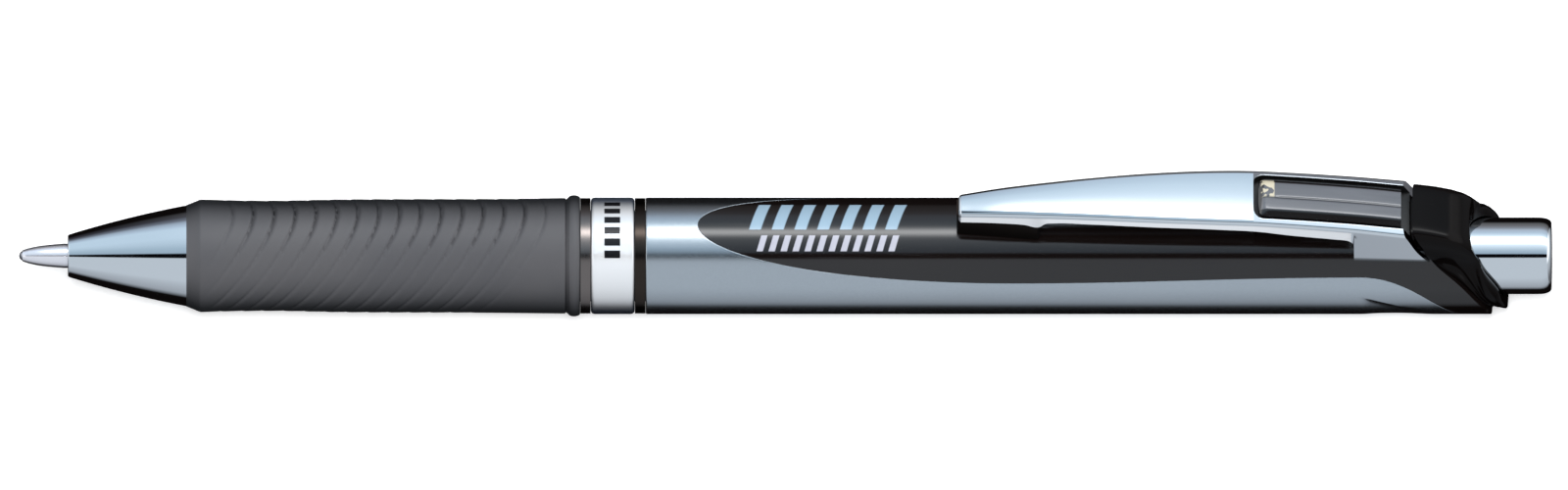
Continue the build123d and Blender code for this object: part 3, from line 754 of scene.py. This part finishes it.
def clip_rows():
    """The rows of the clip as (station, slot half width, slot depth, nose rounding)."""
    turn = np.linspace(0, np.pi / 2, 7)
    sine, cosine = np.sin(turn), np.cos(turn)
    corner_half = SLOT_HALF - SLOT_CORNER
    nose_s, nose_cut = CLIP_FRONT + NOSE_R * (1 - cosine), NOSE_R * (1 - sine)
    rows = [(station, corner_half * 0.4, 0.0, cut) for station, cut in zip(nose_s, nose_cut)]
    plain = np.linspace(CLIP_FRONT + NOSE_R + 0.01, SLOT_FRONT, 150)
    opening = corner_half * np.clip((plain - 90) / 12, 0.4, 1)
    rows += [(station, half, 0.0, 0.0) for station, half in zip(plain, opening)]
    corner_s, corner_u = SLOT_FRONT + SLOT_CORNER * (1 - cosine), corner_half + SLOT_CORNER * sine
    rows += [(station, half, SLOT_DEPTH, 0.0) for station, half in zip(corner_s, corner_u)]
    leg_corner = LEG_FRONT - LEG_CORNER
    beside_slot = np.linspace(SLOT_FRONT + SLOT_CORNER + 0.2, leg_corner, 34)
    leg = [LEG_FRONT + 0.03, LEG_LEAN_START]
    base = np.concatenate([beside_slot, leg_corner + LEG_CORNER * sine[1:], leg])
    return rows + [(station, SLOT_HALF, SLOT_DEPTH, 0.0) for station in base]


def chrome_clip():
    """Sections along the clip, then sections that lean with the rear rim: each of their points
    lies a fixed share of the way from LEG_LEAN_START to the rim at its own height, on a straight
    line to a section at the leg's rear."""
    rows = clip_rows()
    across, height = np.array([clip_section(*row) for row in rows]).swapaxes(0, 1)
    station = np.array([row[0] for row in rows])[:, None] + 0 * across
    reach = 4.2
    later_u, later_v = clip_section(LEG_LEAN_START + reach, SLOT_HALF, SLOT_DEPTH, 0.0)
    slope_u, slope_v = (later_u - across[-1]) / reach, (later_v - height[-1]) / reach
    share = np.linspace(0, 1, 24)[1:, None]
    beyond = 0 * share * slope_u
    for _ in range(8):
        beyond = share * (flow(height[-1] + slope_v * beyond, RIM) - LEG_LEAN_START)
    station = np.vstack([station, LEG_LEAN_START + beyond])
    across = np.vstack([across, across[-1] + slope_u * beyond])
    height = np.vstack([height, height[-1] + slope_v * beyond])
    whole_s = np.hstack([station, station[:, ::-1]])
    whole_u = np.hstack([-across, across[:, ::-1]])
    whole_v = np.hstack([height, height[:, ::-1]])
    return skin("chrome_clip", place(whole_s, whole_u, whole_v), closed=False, crease=40)


def moulded(name, low, high, roughness):
    """Moulded plastic: two close tones in soft clouds, with a fine grain in the gloss."""
    material, shader, where = finish(name)
    clouds = grain(where, 300, 3)
    tone = clouds.mix((*low, 1), (*high, 1))
    drive(shader, Base_Color=tone, Roughness=roughness + grain(where, 6000) * 0.12)
    return material


def colour_clip(clip):
    """Chrome all over, but for the sides of the arm, given bright satin plating as a painted reflection,
    and the slot's sunken faces, painted near-black as a painted shade.
    """
    # Painted reflection: the arm's sides get a bright satin plating that paints in the white they would
    # mirror.
    satin_painted_reflection = satin_chrome("satin_chrome", False)
    # Painted shade: the slot's sunken walls and floor get a near-black plastic for the shade in the recess.
    slot_painted_shade = moulded("painted_slot_shade", (0.003, 0.003, 0.003), (0.006, 0.006, 0.006), 0.35)
    for material in (CHROME, satin_painted_reflection, slot_painted_shade):
        clip.data.materials.append(material)
    centre = np.empty(len(clip.data.polygons) * 3)
    normal = np.empty_like(centre)
    clip.data.polygons.foreach_get("center", centre)
    clip.data.polygons.foreach_get("normal", normal)
    centre, normal = centre.reshape(-1, 3), normal.reshape(-1, 3)
    station, across, height = (centre - place(0, 0, 0)).T * 1000
    side = (np.abs(normal[:, 1]) > 0.8) & (np.abs(across) > flow(station, HALF_WIDTH))
    side &= station < LEG_FRONT - 0.3
    below = clip_top(station, across) - height
    # Faces sunk into the slot, which take the near-black painted shade.
    sunk = (np.abs(across) < SLOT_HALF + 0.01) & (station > SLOT_FRONT - 0.02)
    sunk &= (below > 0.06) & (below < SLOT_DEPTH + 0.1)
    clip.data.polygons.foreach_set("material_index", np.where(sunk, 2, np.where(side, 1, 0)))


clip = chrome_clip()
colour_clip(clip)
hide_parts("clip_arm", "clip_base")
bend_rear, bend_front = place(BEND_REAR, 0, BEND_HEIGHT), place(BEND_FRONT, 0, BEND_HEIGHT)
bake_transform(clip)

# ------------------------------------------------------------------ clip foot
# A dark plated block in the clip's nose that presses on the barrel. Its underside follows the
# barrel, and its edges are eased.
FOOT_FRONT, FOOT_REAR, FOOT_EASE, FOOT_R = 88.45, 96.25, 0.18, BARREL_R + 0.08
FOOT_HALF = [(88.4, 1.0), (92.5, 1.32), (96.3, 1.62)]


def clip_foot():
    """Sections of a block: sides that lean in a little, a hollow underside at the barrel's
    radius, and ends eased by a quarter circle."""
    station = np.linspace(FOOT_FRONT, FOOT_REAR, 40)
    from_end = np.minimum(station - FOOT_FRONT, FOOT_REAR - station)
    near_end = np.clip(1 - from_end / FOOT_EASE, 0, 1)
    ease = (FOOT_EASE * (1 - np.sqrt(1 - near_end**2)))[:, None]
    half = flow(station, FOOT_HALF)[:, None] - ease
    top = flow(station, CREASE_LINE)[:, None] - 0.5
    floor = np.sqrt(FOOT_R**2 - half**2)
    under = np.linspace(0.9, -0.9, 9)[None, :]
    under_v = np.sqrt(FOOT_R**2 - (half * under) ** 2) + ease
    across = np.hstack([half * 0.9, half, half, half * under, -half, -half, -half * 0.9])
    height = np.hstack([top, top - 0.1, floor + 0.12, under_v, floor + 0.12, top - 0.1, top])
    ends_u, ends_v = 0 * across[:1], np.full_like(height[:1], 7.0)
    across = np.vstack([ends_u, across, ends_u])
    height = np.vstack([ends_v, height, ends_v])
    rows = np.concatenate([[FOOT_FRONT], station, [FOOT_REAR]])[:, None]
    return skin("foot_block", place(rows, across, height), closed=False)


foot_plate = dark_chrome("foot_plate", (0.035, 0.025, 0.02, 1))
settle(clip_foot(), "clip", "plated_chrome", foot_plate, "clip_foot")

# ------------------------------------------------------------------ clip window
# A smoke-tinted insert bedded in the clip's slot. It stands a little proud, with a flat top and
# bevelled sides, and its rounded front bevel catches the light.
WINDOW_FRONT, WINDOW_REAR, WINDOW_HALF, WINDOW_CORNER = 116.9, 130.35, 2.10, 0.75
WINDOW_RISE, BEVEL, BEVEL_FOOT = 0.36, 0.62, 0.12
GROOVE_AT, GROOVE_DEPTH, GROOVE_HALF = -0.15, 0.05, 0.12
PEG_FRONT, PEG_REAR, PEG_NEAR, PEG_FAR = 117.15, 118.4, -0.1, 1.75


def clip_window():
    """Sections across the insert. Its height above the clip's top grows with the distance from
    its outline, along a straight bevel: smooth minimums, as logarithms of sums of exponentials,
    join the side's distance to the front's and the bevel to the flat."""
    turn = np.linspace(0, np.pi / 2, 9)
    corner_s = WINDOW_FRONT + WINDOW_CORNER * (1 - np.cos(turn))
    corner_b = WINDOW_HALF - WINDOW_CORNER + WINDOW_CORNER * np.sin(turn)
    straight = np.linspace(corner_s[-1] + 0.12, WINDOW_REAR, 70)
    station = np.concatenate([corner_s, straight])[:, None]
    half = np.concatenate([corner_b, np.full_like(straight, WINDOW_HALF)])[:, None]
    across = half * np.linspace(-1, 1, 61)[None, :]
    from_side = half - np.abs(across)
    from_front = station - WINDOW_FRONT
    away = -np.log(np.exp(-6 * from_side) + np.exp(-6 * from_front)) / 6
    rise = WINDOW_RISE * (1 - np.log(1 + np.exp(10 * (1 - away / BEVEL))) / 10) - BEVEL_FOOT
    groove = GROOVE_DEPTH * np.exp(-(((across - GROOVE_AT) / GROOVE_HALF) ** 2))
    groove = groove * smooth(station, 118.2, 119.0)
    height = clip_top(station, across) + np.maximum(rise, -0.5) - groove
    base = clip_top(station, across[:, ::-1]) - SLOT_DEPTH + 0.05
    rows_u = np.hstack([across, across[:, ::-1]])
    rows_v = np.hstack([height, base])
    ends = np.full_like(rows_v[:1], (height.min() + base.max()) / 2)
    station = np.vstack([station[:1], station, station[-1:]])
    rows_u = np.vstack([rows_u[:1], rows_u, rows_u[-1:]])
    rows_v = np.vstack([np.minimum(rows_v[:1], ends), rows_v, np.minimum(rows_v[-1:], ends)])
    return skin("smoke_insert", place(station, rows_u, rows_v), closed=False, crease=40)


def smoke_insert():
    """Tinted clear plastic: grey on its flat, with faint streaks along it. Its bevels, its front end and
    the groove down its middle are painted near-black, a painted shade. Near the front the cream of the
    moulded peg that holds it shows through, broken by noise into painted glints, a painted highlight."""
    polish = {"Specular_IOR_Level": 0.8, "Coat_Weight": 0.6, "Coat_Roughness": 0.04}
    material, shader, where = finish("smoke_insert", **polish)
    streaks = grain(where, 700, 2, (0.06, 1.5, 1.0))
    station, across, _ = pen_axes(where)
    # Painted shade: the bevels, the front end and the middle groove are darkened to near-black.
    flat_half = WINDOW_HALF - BEVEL
    bevel = across.maths("ABSOLUTE", across).step(flat_half - 0.06, flat_half + 0.04)
    groove = across.maths("ABSOLUTE", across - GROOVE_AT).step(0.20, 0.08)
    front = 1 - (station - across * 0.12).step(117.22, 117.40)
    dark = bevel.maths("MAXIMUM", bevel.maths("MAXIMUM", bevel, front), groove * 0.7)
    tone = streaks.mix((0.085, 0.088, 0.10, 1), (0.155, 0.16, 0.18, 1))
    tone = dark.mix(tone, (0.006, 0.005, 0.005, 1))
    # Painted highlight: the peg's cream under the plastic is broken by noise into bright glints.
    peg = between(station, PEG_FRONT, PEG_REAR, 0.2) * between(across, PEG_NEAR, PEG_FAR, 0.3)
    peg_cream_painted_glints = peg * grain(where, 1500, 1).step(0.44, 0.50)
    drive(
        shader,
        Base_Color=peg_cream_painted_glints.mix(tone, (0.72, 0.66, 0.50, 1)),
        Roughness=0.12 + streaks * 0.12,
    )
    return material


settle(clip_window(), "barrel", "smoke_insert", smoke_insert(), "clip_window")

# ------------------------------------------------------------------ push button
# A plated cup with a well-rounded edge and a faintly domed face. It slides in the rear cap's
# mouth, and the plunger of the click mechanism is pressed into it.
BUTTON_FRONT, BUTTON_R = 128.4, 3.62
BUTTON_END = (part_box("knock_button")[1].x - TIP_X) * 1000
button_corners = [
    (BUTTON_END, 0, 0),
    (BUTTON_END, 1.2, 0.6),
    (BUTTON_END - 0.02, 2.4, 0.5),
    (BUTTON_END - 0.06, BUTTON_R, 1.35),
    (BUTTON_END - 4.0, BUTTON_R, 0.5),
    (BUTTON_FRONT, BUTTON_R, 0.1),
    (BUTTON_FRONT, 0, 0),
]
button = turned("chrome_button", rounded(button_corners, 14))
settle(button, "knock", "plated_chrome", CHROME, "knock_button")

# ------------------------------------------------------------------ inside
# The return spring is a wound steel coil between the nose cone's seat and the refill's flange.
# The grip core, the click mechanism, the refill and the tip spring keep their CAD shapes.
SPRING_R, SPRING_WIRE_R, SPRING_TURNS = 2.45, 0.2, 10
spring_low, spring_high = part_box("return_spring")


def spring_wire():
    """Drawn steel wire with draw marks and a trace of oil."""
    material, shader, where = finish("spring_wire", Base_Color=(0.56, 0.57, 0.60, 1), Metallic=1.0)
    drive(shader, Roughness=0.22 + grain(where, 2500, 2) * 0.2)
    return material


def wound_coil():
    """A round wire swept along a helix: each row of the grid is one section of the wire."""
    start = (spring_low.x - TIP_X) * 1000 + SPRING_WIRE_R
    end = (spring_high.x - TIP_X) * 1000 - SPRING_WIRE_R
    share = np.linspace(0, 1, SPRING_TURNS * 40)[:, None]
    turn = 2 * np.pi * SPRING_TURNS * share
    around = np.linspace(0, 2 * np.pi, 14, endpoint=False)[None, :]
    radius = SPRING_R + SPRING_WIRE_R * np.cos(around)
    station = start + (end - start) * share + SPRING_WIRE_R * np.sin(around)
    points = place(station, radius * np.sin(turn), radius * np.cos(turn))
    return skin("wire_spring", points, closed=False)


WIRE = spring_wire()
coil = wound_coil()
coil.data.materials.append(WIRE)
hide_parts("return_spring")
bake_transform(coil)

INNER_BLACK = moulded("core_plastic", (0.035, 0.035, 0.038), (0.05, 0.05, 0.054), 0.4)
ACETAL = moulded("acetal", (0.72, 0.72, 0.69), (0.80, 0.80, 0.78), 0.38)
REFILL_PLASTIC = moulded("refill_plastic", (0.70, 0.72, 0.73), (0.78, 0.80, 0.81), 0.25)
INK = moulded("gel_ink", (0.008, 0.008, 0.010), (0.016, 0.016, 0.020), 0.1)
FOLLOWER = moulded("follower_grease", (0.70, 0.70, 0.62), (0.78, 0.78, 0.70), 0.2)
INSIDE = {
    "front_barrel": INNER_BLACK,
    "tail_plug": INNER_BLACK,
    "cam_guide": ACETAL,
    "thrust_cam": ACETAL,
    "rotor_cam": ACETAL,
    "refill_adapter": REFILL_PLASTIC,
    "refill_tube": REFILL_PLASTIC,
    "ink_column": INK,
    "ink_follower": FOLLOWER,
    "tip_spring": WIRE,
}
for node, material in INSIDE.items():
    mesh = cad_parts[node].data
    mesh.materials.clear()
    mesh.materials.append(material)

# ------------------------------------------------------------------ floor, light and camera
# A plain white table under soft light from the camera's side. In reflections the pen sees a
# studio: a dark ground, a pale panel in front, a dark gap where the camera stands, and above it
# a blue-white panel with one bright strip.
FLOOR_HALF = 3.0
VIEW_WIDTH, VIEW_RISE, VIEW_DISTANCE, VIEW_STATION, VIEW_LIFT = 0.1479, np.radians(58), 0.8, 72.15, 0.00102

floor_corners = [(x * FLOOR_HALF, y * FLOOR_HALF, 0) for x, y in ((-1, -1), (1, -1), (1, 1), (-1, 1))]
floor_mesh = bpy.data.meshes.new("table")
floor_mesh.from_pydata(floor_corners, [], [(0, 1, 2, 3)])
floor = bpy.data.objects.new("table", floor_mesh)
bpy.context.scene.collection.objects.link(floor)
glow = {"Emission_Color": (1, 1, 1, 1), "Emission_Strength": 0.55}
table, table_shader, where = finish("table", Roughness=0.9, Specular_IOR_Level=0.1, **glow)
drive(table_shader, Base_Color=grain(where, 30, 3).mix((0.90, 0.90, 0.90, 1), (0.92, 0.92, 0.92, 1)))
floor.data.materials.append(table)
floor.visible_glossy = False
floor.visible_diffuse = False


def studio():
    """The world: white behind the object, a dim fill for matt surfaces, and for reflections the
    panels, placed by their angle over the pen's long axis (0 towards -Y, 90 straight up)."""
    world = bpy.data.worlds.new("studio")
    bpy.context.scene.world = world
    world.use_nodes = True
    tree = world.node_tree
    start = Wire(tree, None)
    heading = start.node("ShaderNodeTexCoord")
    x, y, z = [heading.node("ShaderNodeSeparateXYZ", {}, {0: heading}, n) for n in range(3)]
    rise = heading.maths("ARCTAN2", z, y * -1.0) * (180 / np.pi)
    ground, front_low, front = (0.004, 0.003, 0.003), (0.34, 0.37, 0.41), (0.52, 0.575, 0.63)
    gap, blue = (0.002, 0.002, 0.003), (0.54, 0.68, 0.80)
    stops = [(-64, ground), (-50, front_low), (-12, front), (51.5, front), (53, gap), (62.6, gap)]
    stops += [(64, (0.33, 0.43, 0.53)), (76, (0.38, 0.50, 0.60)), (89, (0.48, 0.61, 0.72)), (102, blue)]
    stops += [(127, blue), (134, (0.45, 0.56, 0.68)), (143, (0.34, 0.41, 0.50))]
    stops += [(150, (0.15, 0.17, 0.21)), (162, (0.04, 0.04, 0.05)), (180, ground)]
    tilt = rise + x.maths("MINIMUM", x, 0.0) * (1 - rise.step(-20, 20)) * 38.0
    around_axis = [((angle + 180) / 360, color) for angle, color in stops]
    panels = tilt.node("ShaderNodeValToRGB", {"stops": around_axis}, {0: tilt / 360 + 0.5})
    strip = heading.maths("EXPONENT", ((rise - 106.0) / 5.5) ** 2.0 * -0.5) * x.step(-0.30, -0.06)
    white = rise.step(66, 92) * (1 - rise.step(112, 134)) * x.step(-0.40, -0.08) * 0.28
    haze = between(rise, 138, 176, 26) * x.step(-0.30, -0.06) * 0.11
    glow = strip * 4.5 + white + haze
    adding = {"data_type": "RGBA", "blend_type": "ADD"}
    lit = panels.node("ShaderNodeMix", adding, {0: 1.0, 6: panels, 7: glow}, 2)
    around = z.step(-0.55, 0.25).mix((0.12, 0.12, 0.13, 1), (0.44, 0.48, 0.52, 1))
    overhead = between(z, 0.42, 0.80, 0.25) * 0.8
    around = around.node("ShaderNodeMix", adding, {0: 1.0, 6: around, 7: overhead}, 2)
    lit = x.maths("ABSOLUTE", x).step(0.58, 0.66).mix(lit, around)
    fill = z.step(-0.3, 0.6).mix((0.02, 0.02, 0.02, 1), (0.17, 0.175, 0.18, 1))
    camera_ray = start.node("ShaderNodeLightPath", output="Is Camera Ray")
    matt_ray = start.node("ShaderNodeLightPath", output="Is Diffuse Ray")
    seen = camera_ray.mix(matt_ray.mix(lit, fill), (1.0, 1.0, 1.0, 1))
    drive(tree.nodes["Background"], Color=seen)


studio()


def softbox(name, angle, distance, size, power):
    """A square area light over the pen, at an angle from -Y upwards, that reflections don't show."""
    data = bpy.data.lights.new(name, "AREA")
    data.shape, data.size, data.energy = "SQUARE", size, power
    lamp = bpy.data.objects.new(name, data)
    bpy.context.scene.collection.objects.link(lamp)
    lamp.location = (0, -distance * np.cos(angle), distance * np.sin(angle))
    lamp.rotation_euler = (np.pi / 2 - angle, 0, 0)
    lamp.visible_glossy = False


softbox("key", np.radians(66), 0.9, 0.35, 7.5)

eye = bpy.data.cameras.new("eye")
eye.type = "ORTHO"
eye.ortho_scale = VIEW_WIDTH
eye.dof.use_dof = False
camera = bpy.data.objects.new("eye", eye)
bpy.context.scene.collection.objects.link(camera)
sine, cosine = np.sin(VIEW_RISE), np.cos(VIEW_RISE)
aim = place(VIEW_STATION, 0, 0) + np.array([0, sine, cosine]) * VIEW_LIFT
camera.location = aim + np.array([0, -cosine, sine]) * VIEW_DISTANCE
camera.rotation_euler = (np.pi / 2 - VIEW_RISE, 0, 0)
bpy.context.scene.camera = camera
bpy.context.scene.view_settings.view_transform = "Standard"
